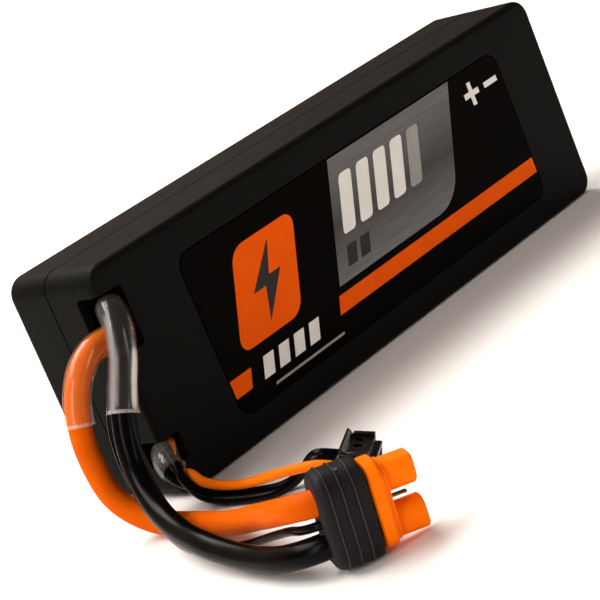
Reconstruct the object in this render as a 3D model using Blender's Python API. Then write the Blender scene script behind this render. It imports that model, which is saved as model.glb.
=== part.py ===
"""Two-cell lithium battery pack in a moulded hard case, with its leads, plugs and inner parts.

Units are metres and +Z is up. The pack stands on one long narrow side: X runs along its
length, the label faces -Y, and the origin is under the middle of the case. The leads come
out of the case at -X and lie on the surface that the pack stands on.
"""
import math

import bmesh
import bpy
from mathutils import Vector

MM = 0.001

# Case
CASE_LENGTH = 0.138
CASE_HEIGHT = 0.046
CASE_THICKNESS = 0.025
CASE_WALL = 0.0018
CORNER_RADIUS = 0.0038
FRONT_EDGE_RADIUS = 0.0014
REAR_EDGE_RADIUS = 0.0018
FRONT_SHELL_DEPTH = 0.0135
TONGUE_HEIGHT = 0.0018
TONGUE_WALL = 0.0007
FIT = 0.0003

# Openings in the front shell, at its -X end
LEAD_WINDOW_LENGTH = 0.0062
LEAD_WINDOW_DEPTH = 0.0060
LEAD_WINDOW_BOTTOM = 0.0292
LEAD_WINDOW_TOP = 0.0409
BALANCE_WINDOW_LENGTH = 0.0049
BALANCE_WINDOW_DEPTH = 0.0056
BALANCE_WINDOW_BOTTOM = 0.0066
BALANCE_WINDOW_TOP = 0.0120
WINDOW_CORNER = 0.0008

# Label
LABEL_LENGTH = 0.1018
LABEL_HEIGHT = 0.0332
LABEL_CENTRE_X = 0.0020
LABEL_CENTRE_Z = 0.0226
LABEL_CORNER = 0.0030
LABEL_THICKNESS = 0.0004

# Cells and padding
CELL_EDGE = 0.0014
CELL_CORNER = 0.0020
TERRACE_LENGTH = 0.0040
TERRACE_THICKNESS = 0.0014
TERRACE_MARGIN = 0.0010
CELL_PAD_THICKNESS = 0.0008
SHELL_PAD_THICKNESS = 0.0006
PAD_MARGIN = 0.0015
CUSHION_LENGTH = 0.0050
INSULATOR_THICKNESS = 0.0005

# Tabs, terminals and board
TAB_LENGTH = 0.0035
TAB_WIDTH = 0.0100
TAB_THICKNESS = 0.0004
TAB_EDGE_OFFSET = 0.0060
LINK_THICKNESS = 0.0006
LINK_OVERHANG = 0.0020
BOARD_SETBACK = 0.0066
BOARD_THICKNESS = 0.0012
CHIP_SIZE = 0.0050
CHIP_HEIGHT = 0.0010
CHIP_Y = 0.0040
CHIP_Z = 0.0220
CHIP_PART_LENGTH = 0.0016
CHIP_PART_WIDTH = 0.0008
CHIP_PART_HEIGHT = 0.0006
CHIP_PART_PITCH = 0.0022
CHIP_PART_COUNT = 3
CHIP_PART_CLEARANCE = 0.0015

# Leads and wires
LEAD_DIAMETER = 0.0044
DATA_WIRE_DIAMETER = 0.0015
BALANCE_WIRE_DIAMETER = 0.0018
BALANCE_WIRE_GAP = 0.0003
SLEEVE_WALL = 0.0003
POSITIVE_SLEEVE_START = 0.0050
POSITIVE_SLEEVE_END = 0.0228
NEGATIVE_SLEEVE_START = 0.0072
NEGATIVE_SLEEVE_END = 0.0270
BALANCE_SLEEVE_START = 0.0100
BALANCE_SLEEVE_END = 0.0144
LEAD_POINT_SPACING = 0.0065
WIRE_POINT_SPACING = 0.0048

# Main connector, standing on its narrow edge
CONNECTOR_POSITION = (-0.0854, -0.0770, 0.0081)
CONNECTOR_YAW = math.radians(-32.0)
CONNECTOR_PITCH = math.radians(5.5)
FLANGE_HEIGHT = 0.0146
FLANGE_WIDTH = 0.0084
FLANGE_THICKNESS = 0.0024
FLANGE_CORNER = 0.0034
FLANGE_EDGE = 0.0004
COLLAR_MARGIN = 0.0008
COLLAR_THICKNESS = 0.0007
BARREL_SPACING = 0.0072
BARREL_HEIGHT = 0.0052
BARREL_WIDTH = 0.0052
BARREL_REACH = 0.0080
BARREL_OUTER_CORNER = 0.0014
BARREL_INNER_CORNER = 0.0024
BARREL_EDGE = 0.0003
SOCKET_OUTER = 0.0034
SOCKET_BORE = 0.0028
SOCKET_RECESS = 0.0006
SOCKET_DEPTH = 0.0060
CUP_OUTER = 0.0042
CUP_BORE = 0.0034
CUP_LENGTH = 0.0040
CUP_FLOOR = 0.0008
DATA_PIN_WIDTH = 0.0010
DATA_PIN_THICKNESS = 0.0004
DATA_PIN_REACH = 0.0062
DATA_PIN_TAIL = 0.0040
BOOT_LENGTH = 0.0082
BOOT_HEIGHT = 0.0160
BOOT_WIDTH = 0.0094
BOOT_CORNER = 0.0036
BOOT_FRONT_TAPER = 0.0006
BOOT_REAR_TAPER = 0.0018
BOOT_SHOULDER = 0.0015
BOOT_RIB_FIRST = 0.0024
BOOT_RIB_PITCH = 0.0020
BOOT_RIB_WIDTH = 0.0004
BOOT_RIB_HEIGHT = 0.00018
BOOT_RIB_COUNT = 3
BOOT_COLLAR_WALL = 0.0006
BOOT_COLLAR_LENGTH = 0.0012

# Balance plug, its wire end held up by the wires
PLUG_POSITION = (-0.0650, -0.0515, 0.0050)
PLUG_YAW = math.radians(-58.8)
PLUG_TILT = math.radians(20.0)
PLUG_LENGTH = 0.0064
PLUG_WIDTH = 0.0098
PLUG_THICKNESS = 0.00575
PLUG_EDGE = 0.0004
PLUG_PITCH = 0.0025
PLUG_HOLE = 0.0021
PLUG_MOUTH_STEP = 0.0011
PLUG_WINDOW_LENGTH = 0.0014
PLUG_WINDOW_WIDTH = 0.0012
PLUG_WINDOW_FROM_MOUTH = 0.0028
PLUG_GRIP_HEIGHT = 0.0011
PLUG_GRIP_LENGTH = 0.0016
PLUG_RAIL_WIDTH = 0.0009
PLUG_RAIL_HEIGHT = 0.0007
PLUG_CONTACT_SIZE = 0.0014
PLUG_CONTACT_LENGTH = 0.0040
PLUG_WIRE_DEPTH = 0.0012

ROUND_STEPS = 8
FILLET_STEPS = 5
COLLAR_FINENESS = 6
BORE_SIDES = 20

# Routes of the leads and wires, in millimetres, from the board to the far end
POSITIVE_ROUTE = (
    (-62.5, -8.0, 33.0), (-65.4, -9.3, 32.5), (-68.6, -9.9, 32.2), (-72.6, -9.9, 31.0),
    (-76.6, -9.7, 28.3), (-79.9, -9.4, 24.2), (-82.2, -9.5, 19.2), (-83.0, -10.4, 14.0),
    (-82.6, -12.3, 8.8), (-81.4, -15.8, 4.8), (-80.9, -21.0, 2.7), (-81.1, -29.0, 2.4),
    (-82.0, -37.0, 2.9), (-84.6, -45.0, 4.8), (-87.6, -52.8, 7.2), (-90.5, -59.4, 9.3),
    (-92.6, -65.2, 11.0), (-93.2, -69.4, 11.9), (-92.2, -72.6, 12.1), (-89.3, -74.6, 12.15),
)
NEGATIVE_ROUTE = (
    (-63.6, -7.2, 37.9), (-65.7, -10.2, 38.2), (-67.6, -13.3, 37.9), (-69.7, -15.9, 35.4),
    (-72.3, -17.2, 30.9),
    (-75.2, -17.3, 26.1), (-77.7, -17.5, 21.7), (-79.6, -18.1, 17.4), (-81.4, -19.7, 13.2),
    (-83.6, -22.9, 9.6), (-86.1, -27.9, 6.8), (-88.8, -34.6, 5.1), (-91.2, -42.0, 4.4),
    (-92.7, -49.4, 3.6), (-93.9, -56.5, 3.3), (-94.7, -62.8, 3.7), (-94.4, -68.0, 4.4),
    (-92.8, -71.9, 4.9), (-89.9, -74.2, 5.0),
)
DATA_ROUTE = (
    (-62.6, -9.3, 29.9), (-64.0, -10.6, 30.1), (-65.4, -12.1, 30.3), (-67.2, -13.5, 30.3),
    (-69.6, -13.9, 29.2), (-72.8, -13.3, 27.0), (-75.8, -13.3, 23.9), (-77.9, -13.4, 20.2),
    (-78.9, -13.6, 16.5), (-79.9, -14.6, 12.8), (-81.2, -16.6, 9.6), (-82.8, -19.6, 6.6),
    (-84.4, -23.9, 3.8), (-86.2, -28.8, 1.9), (-87.4, -33.6, 1.1), (-87.4, -38.0, 0.9),
    (-86.4, -42.0, 0.9), (-85.9, -46.0, 1.2), (-86.6, -51.0, 2.5), (-88.6, -57.6, 4.6),
    (-91.0, -63.8, 6.6), (-92.8, -68.6, 7.8), (-92.6, -72.4, 8.5), (-89.1, -74.7, 8.5),
)
BALANCE_AXIS = (
    (-62.2, -5.4, 9.4), (-64.6, -7.8, 9.6), (-67.0, -10.2, 9.6), (-69.2, -12.5, 9.2),
    (-70.6, -14.3, 8.4), (-71.3, -16.4, 7.1), (-71.3, -18.4, 5.7),
)
BALANCE_POSITIVE_ROUTE = (
    (-70.8, -21.9, 4.8), (-69.6, -25.0, 3.4), (-68.9, -29.2, 3.1), (-69.2, -34.0, 3.9),
    (-70.1, -39.6, 5.3), (-70.6, -44.9, 6.4), (-69.1, -49.6, 6.4), (-67.1, -52.8, 5.0),
    (-66.5, -53.8, 4.6),
)
BALANCE_MIDDLE_ROUTE = (
    (-72.1, -21.2, 3.0), (-71.3, -24.6, 1.4), (-70.7, -28.6, 1.0), (-69.9, -32.8, 1.0),
    (-68.6, -36.9, 1.2), (-67.3, -40.6, 2.4), (-66.9, -43.6, 4.2), (-67.3, -46.2, 5.8),
    (-67.0, -48.3, 6.3), (-65.0, -51.5, 5.0), (-64.4, -52.5, 4.6),
)
BALANCE_NEGATIVE_ROUTE = (
    (-69.9, -20.8, 3.1), (-68.8, -24.0, 1.4), (-68.2, -28.2, 1.0), (-67.6, -32.2, 1.0),
    (-66.4, -36.0, 1.1), (-65.0, -39.2, 2.0), (-64.5, -41.6, 3.6), (-64.7, -44.0, 5.4),
    (-64.9, -46.9, 6.4), (-62.9, -50.2, 5.0), (-62.3, -51.2, 4.6),
)

# Places worked out from the sizes above
FRONT_Y = -CASE_THICKNESS / 2
REAR_Y = CASE_THICKNESS / 2
PARTING_Y = FRONT_Y + FRONT_SHELL_DEPTH
CASE_LEFT = -CASE_LENGTH / 2
CASE_MIDDLE_Z = CASE_HEIGHT / 2
INNER_FRONT_Y = FRONT_Y + CASE_WALL
INNER_REAR_Y = REAR_Y - CASE_WALL
INNER_HEIGHT = CASE_HEIGHT - 2 * CASE_WALL
CELL_HEIGHT = INNER_HEIGHT - 2 * FIT
CELL_SPACE = INNER_REAR_Y - INNER_FRONT_Y - CELL_PAD_THICKNESS - 2 * SHELL_PAD_THICKNESS
CELL_THICKNESS = (CELL_SPACE - 6 * FIT) / 2
CELL_OFFSET_Y = CELL_PAD_THICKNESS / 2 + FIT + CELL_THICKNESS / 2
CUSHION_RIGHT = CASE_LENGTH / 2 - CASE_WALL - FIT
BOARD_FACE = CASE_LEFT + CASE_WALL + BOARD_SETBACK
BOARD_BACK = BOARD_FACE + BOARD_THICKNESS
LINK_LEFT = BOARD_BACK + FIT
TAB_LEFT = LINK_LEFT + LINK_THICKNESS + FIT
TAB_RIGHT = TAB_LEFT + TAB_LENGTH
TERRACE_LEFT = TAB_RIGHT + FIT
CELL_LEFT = TERRACE_LEFT + TERRACE_LENGTH
CELL_LENGTH = CUSHION_RIGHT - CUSHION_LENGTH - FIT - CELL_LEFT
CELL_RIGHT = CELL_LEFT + CELL_LENGTH
SLEEVE_BORE = LEAD_DIAMETER + 2 * FIT
TREFOIL_RADIUS = (BALANCE_WIRE_DIAMETER + BALANCE_WIRE_GAP) / math.sqrt(3.0)
BALANCE_SLEEVE_BORE = 2 * TREFOIL_RADIUS + BALANCE_WIRE_DIAMETER + 2 * FIT

MATERIALS = {
    "case_plastic": ("#17171A", 0.45, 0.0),
    "label_vinyl": ("#101012", 0.25, 0.0),
    "pouch_foil": ("#B9BDC2", 0.35, 1.0),
    "foam": ("#4A4C50", 0.95, 0.0),
    "insulating_card": ("#D9CFA8", 0.80, 0.0),
    "nickel": ("#C3BFB4", 0.35, 1.0),
    "aluminium": ("#CFD2D6", 0.35, 1.0),
    "board_laminate": ("#1E5A38", 0.50, 0.0),
    "chip_resin": ("#1B1B1D", 0.60, 0.0),
    "orange_silicone": ("#F2700A", 0.45, 0.0),
    "black_silicone": ("#141416", 0.45, 0.0),
    "clear_tubing": ("#D8DCE0", 0.15, 0.0),
    "orange_nylon": ("#F06A05", 0.45, 0.0),
    "black_rubber": ("#1A1A1D", 0.65, 0.0),
    "black_nylon": ("#131315", 0.50, 0.0),
    "brass": ("#C9A24A", 0.30, 1.0),
}


def linear(hex_colour):
    """The linear red, green, blue and alpha of an sRGB hex colour."""
    parts = [int(hex_colour[i:i + 2], 16) / 255.0 for i in (1, 3, 5)]
    low = 0.04045
    return [c / 12.92 if c <= low else ((c + 0.055) / 1.055) ** 2.4 for c in parts] + [1.0]


def material(name):
    """The named Principled material, made the first time it is asked for."""
    found = bpy.data.materials.get(name)
    if found:
        return found
    colour, roughness, metallic = MATERIALS[name]
    made = bpy.data.materials.new(name)
    made.use_nodes = True
    shader = made.node_tree.nodes["Principled BSDF"]
    shader.inputs["Base Color"].default_value = linear(colour)
    shader.inputs["Roughness"].default_value = roughness
    shader.inputs["Metallic"].default_value = metallic
    made.diffuse_color = linear(colour)
    return made


def add_object(name, data, finish, parent=None):
    """Put mesh or curve data in the scene under a name, a material and an optional parent."""
    made = bpy.data.objects.new(name, data)
    bpy.context.scene.collection.objects.link(made)
    data.materials.append(material(finish))
    made.parent = parent
    return made


def add_mesh(name, bm, finish, parent=None, smooth_angle=40.0):
    """Turn a bmesh into a named object with outward faces and smooth rounds."""
    bmesh.ops.recalc_face_normals(bm, faces=bm.faces)
    mesh = bpy.data.meshes.new(name)
    bm.to_mesh(mesh)
    bm.free()
    mesh.shade_smooth()
    mesh.set_sharp_from_angle(angle=math.radians(smooth_angle))
    return add_object(name, mesh, finish, parent)


def tool(made):
    """Mark an object as a cutter or a shape that a Boolean joins."""
    made.hide_render = True
    made.display_type = "WIRE"
    return made


def boolean(target, other, operation):
    """Cut another shape out of the target, or join it to the target."""
    step = target.modifiers.new(other.name, "BOOLEAN")
    step.operation = operation
    step.solver = "EXACT"
    step.object = tool(other)


def ring(width, height, radii):
    """Points round a rectangle whose corners, from +u +v on, have the radii given."""
    corners = ((1, 1, 0.0), (-1, 1, 90.0), (-1, -1, 180.0), (1, -1, 270.0))
    points = []
    for (side_u, side_v, start), radius in zip(corners, radii):
        centre_u = side_u * (width / 2 - radius)
        centre_v = side_v * (height / 2 - radius)
        for k in range(ROUND_STEPS + 1):
            angle = math.radians(start + 90.0 * k / ROUND_STEPS)
            points.append((centre_u + radius * math.cos(angle), centre_v + radius * math.sin(angle)))
    return points


def add_loft(bm, sections, place):
    """Skin rings of equal count, capped at both ends; place turns (u, v, w) into a point."""
    loops = []
    for w, outline in sections:
        loops.append([bm.verts.new(place(u, v, w)) for u, v in outline])
    count = len(loops[0])
    for low, high in zip(loops, loops[1:]):
        for k in range(count):
            after = (k + 1) % count
            bm.faces.new((low[k], low[after], high[after], high[k]))
    bm.faces.new(loops[0])
    bm.faces.new(loops[-1])


def loft(name, sections, place, finish, parent=None):
    """A lofted solid as an object."""
    bm = bmesh.new()
    add_loft(bm, sections, place)
    return add_mesh(name, bm, finish, parent)


def along_x(centre_y=0.0, centre_z=0.0):
    """Rings stand across X, with u along Y and v along Z."""
    return lambda u, v, w: Vector((w, centre_y + u, centre_z + v))


def along_y(centre_x=0.0, centre_z=0.0):
    """Rings stand across Y, with u along X and v along Z."""
    return lambda u, v, w: Vector((centre_x + u, w, centre_z + v))


def add_box(bm, low, high):
    """Add a box between two corners and return its vertices."""
    made = bmesh.ops.create_cube(bm, size=1.0)["verts"]
    low, high = Vector(low), Vector(high)
    bmesh.ops.scale(bm, vec=high - low, verts=made)
    bmesh.ops.translate(bm, vec=(low + high) / 2, verts=made)
    return made


def box(name, low, high, finish, parent=None, edge=0.0):
    """A box between two corners, with its edges rounded where an edge size is given."""
    bm = bmesh.new()
    add_box(bm, low, high)
    if edge:
        bmesh.ops.bevel(bm, geom=bm.edges[:], offset=edge, segments=2, profile=0.5,
                        affect="EDGES", material=-1)
    return add_mesh(name, bm, finish, parent)


def cylinder(name, centre, radius, start, end, parent=None):
    """A cutter along the parent's X axis, centred on a (y, z) point."""
    bm = bmesh.new()
    angles = [2 * math.pi * k / BORE_SIDES for k in range(BORE_SIDES)]
    outline = [(radius * math.cos(angle), radius * math.sin(angle)) for angle in angles]
    add_loft(bm, [(start, outline), (end, outline)], along_x(*centre))
    return add_mesh(name, bm, "case_plastic", parent)


def turned(name, profile, finish, parent, centre_z):
    """Spin a (radius, x) profile that starts and ends on the axis round the parent's X axis."""
    bm = bmesh.new()
    points = [bm.verts.new((x, 0.0, centre_z + radius)) for radius, x in profile]
    edges = [bm.edges.new(pair) for pair in zip(points, points[1:])]
    bmesh.ops.spin(bm, geom=points + edges, cent=(0.0, 0.0, centre_z), axis=(1.0, 0.0, 0.0),
                   angle=2 * math.pi, steps=BORE_SIDES, use_merge=True)
    bmesh.ops.remove_doubles(bm, verts=bm.verts, dist=FIT / 100)
    return add_mesh(name, bm, finish, parent)


def frame(name, position, yaw, pitch=0.0):
    """An empty whose X axis is the way that a plug or a connector points."""
    made = bpy.data.objects.new(name, None)
    bpy.context.scene.collection.objects.link(made)
    made.location = position
    made.rotation_euler = (0.0, pitch, yaw)
    return made


def metres(route):
    """A route's points as vectors in metres."""
    return [Vector(point) * MM for point in route]


def smooth_curve(points, parts=12):
    """A Catmull-Rom curve through the points, as many short steps."""
    line = [2 * points[0] - points[1], *points, 2 * points[-1] - points[-2]]
    curve = []
    for a, b, c, d in zip(line, line[1:], line[2:], line[3:]):
        for k in range(parts):
            t = k / parts
            curve.append(0.5 * (2 * b + (c - a) * t + (2 * a - 5 * b + 4 * c - d) * t ** 2
                                + (3 * b - a - 3 * c + d) * t ** 3))
    curve.append(points[-1])
    return curve


def point_at(curve, distance):
    """The point that lies a distance along a polyline."""
    for a, b in zip(curve, curve[1:]):
        step = (b - a).length
        if distance <= step:
            return a.lerp(b, distance / step)
        distance -= step
    return curve[-1]


def length_of(curve):
    """The length of a polyline."""
    return sum((b - a).length for a, b in zip(curve, curve[1:]))


def even_points(points, spacing):
    """Evenly spaced points on the smooth curve through a route."""
    curve = smooth_curve(points)
    total = length_of(curve)
    steps = max(2, round(total / spacing))
    return [point_at(curve, total * k / steps) for k in range(steps + 1)]


def stretch(line, start, end):
    """The part of a polyline between two distances along it."""
    kept = [point_at(line, start)]
    travelled = 0.0
    for a, b in zip(line, line[1:]):
        travelled += (b - a).length
        if start + FIT < travelled < end - FIT:
            kept.append(b)
    kept.append(point_at(line, end))
    return kept


def tube_curve(name, line, radius, capped, fineness=2):
    """A round tube of curve data along a polyline; a higher fineness gives it more sides."""
    curve = bpy.data.curves.new(name, "CURVE")
    curve.dimensions = "3D"
    curve.bevel_depth = radius
    curve.bevel_resolution = fineness
    curve.use_fill_caps = capped
    spline = curve.splines.new("POLY")
    spline.points.add(len(line) - 1)
    for place, point in zip(spline.points, line):
        place.co = (*point, 1.0)
        place.radius = 1.0
    spline.use_smooth = True
    return curve


def wire(name, line, diameter, finish):
    """A solid wire along a polyline."""
    return add_object(name, tube_curve(name, line, diameter / 2, True), finish)


def sleeve(name, line, bore):
    """A length of clear tubing with an open bore, along a polyline."""
    made = add_object(name, tube_curve(name, line, (bore + SLEEVE_WALL) / 2, False), "clear_tubing")
    wall = made.modifiers.new("wall", "SOLIDIFY")
    wall.thickness = SLEEVE_WALL
    wall.offset = 0.0
    return made


def beside(axis, across, above):
    """A route that keeps its place beside another one: across it, and above it."""
    moved = []
    for k, point in enumerate(axis):
        ahead = axis[min(k + 1, len(axis) - 1)] - axis[max(k - 1, 0)]
        side = ahead.cross(Vector((0.0, 0.0, 1.0))).normalized()
        lift = side.cross(ahead).normalized()
        moved.append(point + side * across + lift * above)
    return moved


def case_ring(inset):
    """The case's outline, drawn in by an inset."""
    radius = max(CORNER_RADIUS - inset, FIT)
    return ring(CASE_LENGTH - 2 * inset, CASE_HEIGHT - 2 * inset, (radius,) * 4)


def rounded_face(face_y, inward, radius):
    """Case sections that round the edge of an outer face; inward is the sign of the way in."""
    sections = []
    for k in range(FILLET_STEPS + 1):
        angle = math.pi / 2 * k / FILLET_STEPS
        inset = radius * (1 - math.sin(angle))
        sections.append((face_y + inward * radius * (1 - math.cos(angle)), case_ring(inset)))
    return sections


def window(name, length, depth, bottom, top):
    """A cutter for an opening through the front shell's corner, at its -X end."""
    past = CASE_WALL
    low = (CASE_LEFT - past, FRONT_Y - past, bottom)
    high = (CASE_LEFT + length, FRONT_Y + depth, top)
    return box(name, low, high, "case_plastic", edge=WINDOW_CORNER)


def build_front_shell():
    """The deep half of the case: label recess, two corner windows and a rabbet for the tongue."""
    rabbet = CASE_WALL - TONGUE_WALL - FIT
    shelf_y = PARTING_Y - TONGUE_HEIGHT - FIT
    sections = rounded_face(FRONT_Y, 1, FRONT_EDGE_RADIUS)
    sections += [
        (PARTING_Y, case_ring(0.0)),
        (PARTING_Y, case_ring(rabbet)),
        (shelf_y, case_ring(rabbet)),
        (shelf_y, case_ring(CASE_WALL)),
        (INNER_FRONT_Y, case_ring(CASE_WALL)),
    ]
    shell = loft("front_shell", sections, along_y(centre_z=CASE_MIDDLE_Z), "case_plastic")
    recess_floor = FRONT_Y + LABEL_THICKNESS + FIT
    outline = ring(LABEL_LENGTH + 2 * FIT, LABEL_HEIGHT + 2 * FIT, (LABEL_CORNER + FIT,) * 4)
    recess = loft("label_recess", [(FRONT_Y - CASE_WALL, outline), (recess_floor, outline)],
                  along_y(LABEL_CENTRE_X, LABEL_CENTRE_Z), "case_plastic")
    boolean(shell, recess, "DIFFERENCE")
    boolean(shell, window("lead_window", LEAD_WINDOW_LENGTH, LEAD_WINDOW_DEPTH,
                          LEAD_WINDOW_BOTTOM, LEAD_WINDOW_TOP), "DIFFERENCE")
    boolean(shell, window("balance_window", BALANCE_WINDOW_LENGTH, BALANCE_WINDOW_DEPTH,
                          BALANCE_WINDOW_BOTTOM, BALANCE_WINDOW_TOP), "DIFFERENCE")


def build_rear_shell():
    """The shallow half of the case, with the tongue that fits inside the front shell."""
    rim_y = PARTING_Y + FIT
    tongue_outside = CASE_WALL - TONGUE_WALL
    sections = rounded_face(REAR_Y, -1, REAR_EDGE_RADIUS)
    sections += [
        (rim_y, case_ring(0.0)),
        (rim_y, case_ring(tongue_outside)),
        (rim_y - TONGUE_HEIGHT, case_ring(tongue_outside)),
        (rim_y - TONGUE_HEIGHT, case_ring(CASE_WALL)),
        (INNER_REAR_Y, case_ring(CASE_WALL)),
    ]
    loft("rear_shell", sections, along_y(centre_z=CASE_MIDDLE_Z), "case_plastic")


def build_label():
    """The printed sticker, flush in its recess."""
    outline = ring(LABEL_LENGTH, LABEL_HEIGHT, (LABEL_CORNER,) * 4)
    loft("label", [(FRONT_Y, outline), (FRONT_Y + LABEL_THICKNESS, outline)],
         along_y(LABEL_CENTRE_X, LABEL_CENTRE_Z), "label_vinyl")


def build_cell(name, centre_y):
    """A pouch cell: a soft-edged body with a thin sealed terrace at its tab end."""
    def section(x, thickness, height):
        radius = min(CELL_CORNER, thickness / 2 - FIT)
        return x, ring(thickness, height, (radius,) * 4)

    slim = CELL_THICKNESS - 2 * CELL_EDGE
    short = CELL_HEIGHT - 2 * CELL_EDGE
    terrace_height = CELL_HEIGHT - 2 * TERRACE_MARGIN
    sections = [
        section(CELL_RIGHT, slim, short),
        section(CELL_RIGHT - CELL_EDGE, CELL_THICKNESS, CELL_HEIGHT),
        section(CELL_LEFT + CELL_EDGE, CELL_THICKNESS, CELL_HEIGHT),
        section(CELL_LEFT, slim, terrace_height),
        section(CELL_LEFT, TERRACE_THICKNESS, terrace_height),
        section(TERRACE_LEFT, TERRACE_THICKNESS, terrace_height),
    ]
    loft(name, sections, along_x(centre_y, CASE_MIDDLE_Z), "pouch_foil")


def build_pad(name, low_y, thickness):
    """A foam sheet as large as a cell's flat face."""
    low = (CELL_LEFT + PAD_MARGIN, low_y, CASE_MIDDLE_Z - CELL_HEIGHT / 2 + PAD_MARGIN)
    high = (CELL_RIGHT - PAD_MARGIN, low_y + thickness, CASE_MIDDLE_Z + CELL_HEIGHT / 2 - PAD_MARGIN)
    box(name, low, high, "foam")


def build_cells():
    """Both cells with the foam round them and the card that keeps their tabs apart."""
    build_cell("cell_front", -CELL_OFFSET_Y)
    build_cell("cell_rear", CELL_OFFSET_Y)
    build_pad("cell_pad", -CELL_PAD_THICKNESS / 2, CELL_PAD_THICKNESS)
    build_pad("front_pad", INNER_FRONT_Y + FIT, SHELL_PAD_THICKNESS)
    build_pad("rear_pad", INNER_REAR_Y - FIT - SHELL_PAD_THICKNESS, SHELL_PAD_THICKNESS)
    reach_y = INNER_REAR_Y - FIT
    reach_z = CELL_HEIGHT / 2 - CELL_CORNER
    box("end_cushion", (CUSHION_RIGHT - CUSHION_LENGTH, -reach_y, CASE_MIDDLE_Z - reach_z),
        (CUSHION_RIGHT, reach_y, CASE_MIDDLE_Z + reach_z), "foam", edge=CELL_EDGE)
    box("tab_insulator", (TAB_LEFT, -INSULATOR_THICKNESS / 2, CASE_MIDDLE_Z - CELL_HEIGHT / 2),
        (CELL_LEFT + PAD_MARGIN - FIT, INSULATOR_THICKNESS / 2, CASE_MIDDLE_Z + CELL_HEIGHT / 2),
        "insulating_card")


def build_terminals():
    """The cells' tabs, and the plates that carry them to the board."""
    high_z = CASE_MIDDLE_Z + CELL_HEIGHT / 2 - TAB_EDGE_OFFSET - TAB_WIDTH / 2
    low_z = CASE_MIDDLE_Z - CELL_HEIGHT / 2 + TAB_EDGE_OFFSET + TAB_WIDTH / 2
    tabs = (
        ("positive_tab_front", -CELL_OFFSET_Y, high_z, "aluminium"),
        ("negative_tab_front", -CELL_OFFSET_Y, low_z, "nickel"),
        ("positive_tab_rear", CELL_OFFSET_Y, low_z, "aluminium"),
        ("negative_tab_rear", CELL_OFFSET_Y, high_z, "nickel"),
    )
    for name, y, z, finish in tabs:
        box(name, (TAB_LEFT, y - TAB_THICKNESS / 2, z - TAB_WIDTH / 2),
            (TAB_RIGHT, y + TAB_THICKNESS / 2, z + TAB_WIDTH / 2), finish)
    plates = (
        ("positive_terminal", -CELL_OFFSET_Y - LINK_OVERHANG, -CELL_OFFSET_Y + LINK_OVERHANG, high_z),
        ("negative_terminal", CELL_OFFSET_Y - LINK_OVERHANG, CELL_OFFSET_Y + LINK_OVERHANG, high_z),
        ("series_link", -CELL_OFFSET_Y - LINK_OVERHANG, CELL_OFFSET_Y + LINK_OVERHANG, low_z),
    )
    for name, low_y, high_y, z in plates:
        box(name, (LINK_LEFT, low_y, z - TAB_WIDTH / 2),
            (LINK_LEFT + LINK_THICKNESS, high_y, z + TAB_WIDTH / 2), "nickel")


def build_board():
    """The board that watches the cells, with its chip and a row of small parts."""
    reach_y = INNER_REAR_Y - FIT
    reach_z = INNER_HEIGHT / 2 - FIT
    box("board", (BOARD_FACE, -reach_y, CASE_MIDDLE_Z - reach_z),
        (BOARD_BACK, reach_y, CASE_MIDDLE_Z + reach_z), "board_laminate")
    face = BOARD_FACE - FIT
    half = CHIP_SIZE / 2
    box("controller_chip", (face - CHIP_HEIGHT, CHIP_Y - half, CHIP_Z - half),
        (face, CHIP_Y + half, CHIP_Z + half), "chip_resin", edge=CHIP_HEIGHT / 8)
    first_y = CHIP_Y - CHIP_PART_PITCH * (CHIP_PART_COUNT - 1) / 2
    z = CHIP_Z - half - CHIP_PART_CLEARANCE
    for k in range(CHIP_PART_COUNT):
        y = first_y + CHIP_PART_PITCH * k
        box("board_part_%d" % (k + 1),
            (face - CHIP_PART_HEIGHT, y - CHIP_PART_WIDTH / 2, z - CHIP_PART_LENGTH / 2),
            (face, y + CHIP_PART_WIDTH / 2, z + CHIP_PART_LENGTH / 2), "chip_resin")


def build_leads():
    """The two main leads with their sleeves, and the data wire; returns the line of each."""
    lines = {}
    for name, route, diameter, spacing, finish in (
        ("positive_lead", POSITIVE_ROUTE, LEAD_DIAMETER, LEAD_POINT_SPACING, "orange_silicone"),
        ("negative_lead", NEGATIVE_ROUTE, LEAD_DIAMETER, LEAD_POINT_SPACING, "black_silicone"),
        ("data_wire", DATA_ROUTE, DATA_WIRE_DIAMETER, WIRE_POINT_SPACING, "black_silicone"),
    ):
        lines[name] = even_points(metres(route), spacing)
        wire(name, lines[name], diameter, finish)
    sleeve("positive_sleeve", stretch(lines["positive_lead"], POSITIVE_SLEEVE_START, POSITIVE_SLEEVE_END),
           SLEEVE_BORE)
    sleeve("negative_sleeve", stretch(lines["negative_lead"], NEGATIVE_SLEEVE_START, NEGATIVE_SLEEVE_END),
           SLEEVE_BORE)
    return lines


def build_balance_wires():
    """Three thin wires that share a sleeve at the case and part on the way to their plug."""
    axis = even_points(metres(BALANCE_AXIS), WIRE_POINT_SPACING)
    low = -TREFOIL_RADIUS / 2
    wide = TREFOIL_RADIUS * math.cos(math.pi / 6)
    for name, across, above, route, finish in (
        ("balance_wire_positive", 0.0, TREFOIL_RADIUS, BALANCE_POSITIVE_ROUTE, "orange_silicone"),
        ("balance_wire_middle", wide, low, BALANCE_MIDDLE_ROUTE, "black_silicone"),
        ("balance_wire_negative", -wide, low, BALANCE_NEGATIVE_ROUTE, "black_silicone"),
    ):
        line = beside(axis, across, above) + even_points(metres(route), WIRE_POINT_SPACING)
        wire(name, line, BALANCE_WIRE_DIAMETER, finish)
    sleeve("balance_sleeve", stretch(axis, BALANCE_SLEEVE_START, BALANCE_SLEEVE_END), BALANCE_SLEEVE_BORE)


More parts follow.
